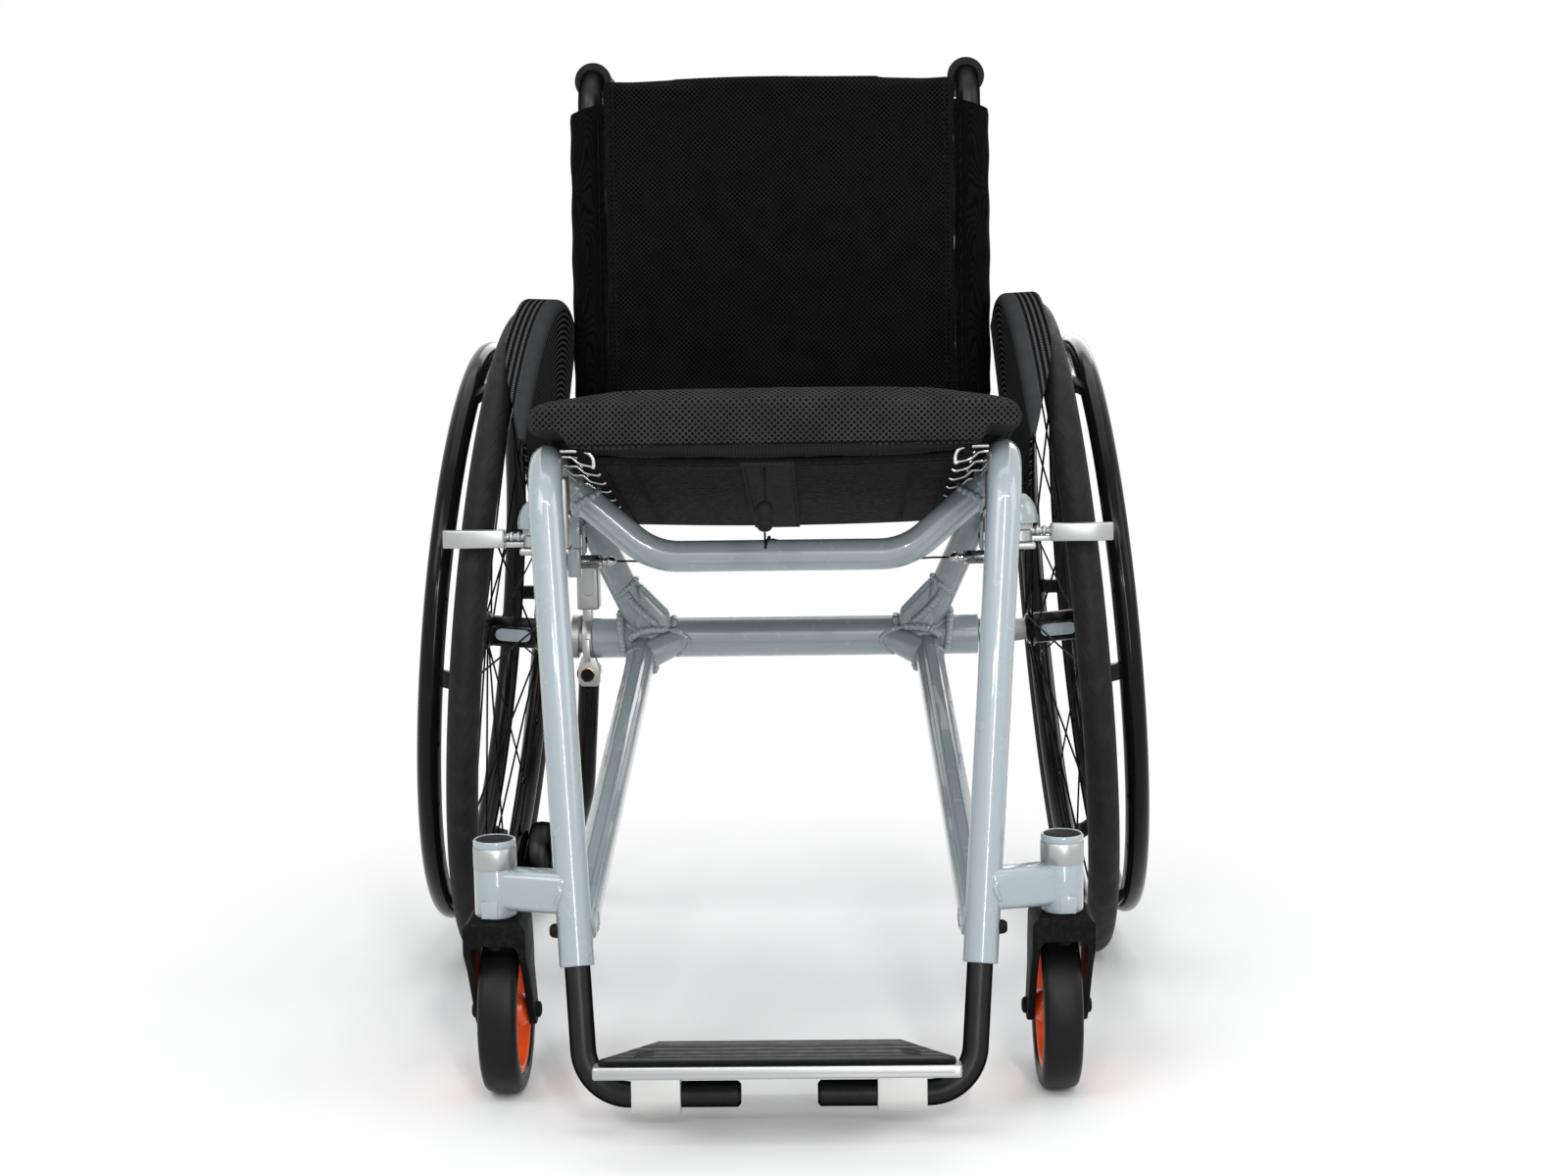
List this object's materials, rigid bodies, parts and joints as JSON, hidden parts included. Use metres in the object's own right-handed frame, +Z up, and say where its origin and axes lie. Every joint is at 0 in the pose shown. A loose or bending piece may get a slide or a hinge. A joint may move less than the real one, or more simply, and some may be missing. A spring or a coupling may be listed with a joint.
{
  "type": "sports wheelchair",
  "caption": "Rigid-frame sports wheelchair with cambered spoked wheels and hand rims, swivel casters, folding padded back, brakes, footplate and rear anti-tip wheel.",
  "frame": {"origin": "middle of the bounding box in X and Y, at the ground the wheels stand on", "axes": "+Z up; the chair faces -Y, so the rider's left is +X; +X is the right of the picture; the rear axle runs along X at y 0.132"},
  "size_m": [0.6296, 0.8579, 0.8166],
  "materials": {
    "frame_paint": "gloss blue-grey paint",
    "black_metal": "satin black",
    "rubber": "matt black",
    "silver": "satin aluminium",
    "orange_plastic": "semi-gloss orange",
    "black_fabric": "black spacer mesh",
    "carbon": "clear-coated carbon weave"
  },
  "bodies": {
    "frame": {"side_tube_right": "frame_paint", "side_tube_left": "frame_paint", "front_cross_tube": "frame_paint", "axle_tube": "frame_paint", "upper_strut_right": "frame_paint", "upper_strut_left": "frame_paint", "lower_strut_right": "frame_paint", "lower_strut_left": "frame_paint", "caster_mount_right": "frame_paint", "caster_mount_left": "frame_paint", "footrest_tube_right": "black_metal", "footrest_tube_left": "black_metal", "footplate": "silver", "footplate_pad": "rubber", "footplate_clamp_right": "silver", "footplate_clamp_left": "silver", "seat_sling": "black_fabric", "seat_cushion": "black_fabric", "side_guard_right": "carbon", "side_guard_left": "carbon", "lock_block_right": "frame_paint", "lock_block_left": "frame_paint", "brake_mount_right": "silver", "brake_mount_left": "silver", "pull_cord": "rubber", "release_wire": "black_metal", "axle_pin_right": "silver", "axle_pin_left": "silver", "camber_socket_right": "silver", "camber_socket_left": "silver", "antitip_clamp": "silver"},
    "rear_wheel_right": {"rear_tyre_right": "rubber", "rear_rim_right": "black_metal", "rear_hub_right": "black_metal", "push_rim_right": "black_metal"},
    "rear_wheel_left": {"rear_tyre_left": "rubber", "rear_rim_left": "black_metal", "rear_hub_left": "black_metal", "push_rim_left": "black_metal"},
    "caster_right": {"caster_fork_right": "black_metal"},
    "caster_wheel_body_right": {"caster_tyre_right": "rubber", "caster_wheel_right": "orange_plastic"},
    "caster_left": {"caster_fork_left": "black_metal"},
    "caster_wheel_body_left": {"caster_tyre_left": "rubber", "caster_wheel_left": "orange_plastic"},
    "back": {"back_tube_right": "black_metal", "back_tube_left": "black_metal", "back_wrap_right": "black_fabric", "back_wrap_left": "black_fabric", "push_grip_right": "rubber", "push_grip_left": "rubber", "back_crossbar": "black_metal", "back_panel": "black_fabric"},
    "brake_right": {"brake_arm_right": "silver"},
    "brake_left": {"brake_arm_left": "silver"},
    "release_knob": {"pull_knob": "rubber"},
    "lock_pin_body_right": {"lock_pin_right": "black_metal"},
    "lock_pin_body_left": {"lock_pin_left": "black_metal"},
    "antitip": {"antitip_arm": "black_metal"},
    "antitip_roller": {"antitip_wheel": "rubber"}
  },
  "joints": [
    {"name": "rear_wheel_right_axle", "type": "hinge", "parent": "frame", "child": "rear_wheel_right", "pos_m": [0.2517, 0.13207, 0.29602], "axis": [0.9966, 0, 0.0828], "continuous": true},
    {"name": "rear_wheel_left_axle", "type": "hinge", "parent": "frame", "child": "rear_wheel_left", "pos_m": [-0.2517, 0.13207, 0.29602], "axis": [0.9966, 0, -0.0828], "continuous": true},
    {"name": "caster_right_swivel", "type": "hinge", "parent": "frame", "child": "caster_right", "pos_m": [0.2105, -0.29793, 0.148], "axis": [0, 0, 1], "range_deg": [-180, 90]},
    {"name": "caster_wheel_right_axle", "type": "hinge", "parent": "caster_right", "child": "caster_wheel_body_right", "pos_m": [0.2105, -0.25893, 0.0625], "axis": [1, 0, 0], "continuous": true},
    {"name": "caster_left_swivel", "type": "hinge", "parent": "frame", "child": "caster_left", "pos_m": [-0.2105, -0.29793, 0.148], "axis": [0, 0, 1], "range_deg": [-90, 180]},
    {"name": "caster_wheel_left_axle", "type": "hinge", "parent": "caster_left", "child": "caster_wheel_body_left", "pos_m": [-0.2105, -0.25893, 0.0625], "axis": [1, 0, 0], "continuous": true},
    {"name": "back_fold", "type": "hinge", "parent": "frame", "child": "back", "pos_m": [0, 0.13207, 0.4005], "axis": [1, 0, 0], "range_deg": [0, 50]},
    {"name": "brake_right_pivot", "type": "hinge", "parent": "frame", "child": "brake_right", "pos_m": [0.1915, -0.14793, 0.4075], "axis": [0, 0, 1], "range_deg": [-75, 0]},
    {"name": "brake_left_pivot", "type": "hinge", "parent": "frame", "child": "brake_left", "pos_m": [-0.1915, -0.14793, 0.4075], "axis": [0, 0, 1], "range_deg": [0, 75]},
    {"name": "release_pull", "type": "slide", "parent": "frame", "child": "release_knob", "axis": [0, 0, -1], "range_m": [0, 0.006], "stiffness_N_per_m": 300, "deforming": ["release_wire", "pull_cord"]},
    {"name": "lock_pin_right_slide", "type": "slide", "parent": "frame", "child": "lock_pin_body_right", "axis": [-1, 0, 0], "range_m": [0, 0.006], "stiffness_N_per_m": 300},
    {"name": "lock_pin_left_slide", "type": "slide", "parent": "frame", "child": "lock_pin_body_left", "axis": [1, 0, 0], "range_m": [0, 0.006], "stiffness_N_per_m": 300},
    {"name": "antitip_swing", "type": "hinge", "parent": "frame", "child": "antitip", "pos_m": [-0.1812, 0.13207, 0.258], "axis": [0, -1, 0], "range_deg": [0, 60]},
    {"name": "antitip_wheel_axle", "type": "hinge", "parent": "antitip", "child": "antitip_roller", "pos_m": [-0.246, 0.25707, 0.0525], "axis": [1, 0, 0], "continuous": true}
  ],
  "couplings": [
    {"joint": "lock_pin_right_slide", "follows": "release_pull", "ratio": 1},
    {"joint": "lock_pin_left_slide", "follows": "release_pull", "ratio": 1}
  ]
}
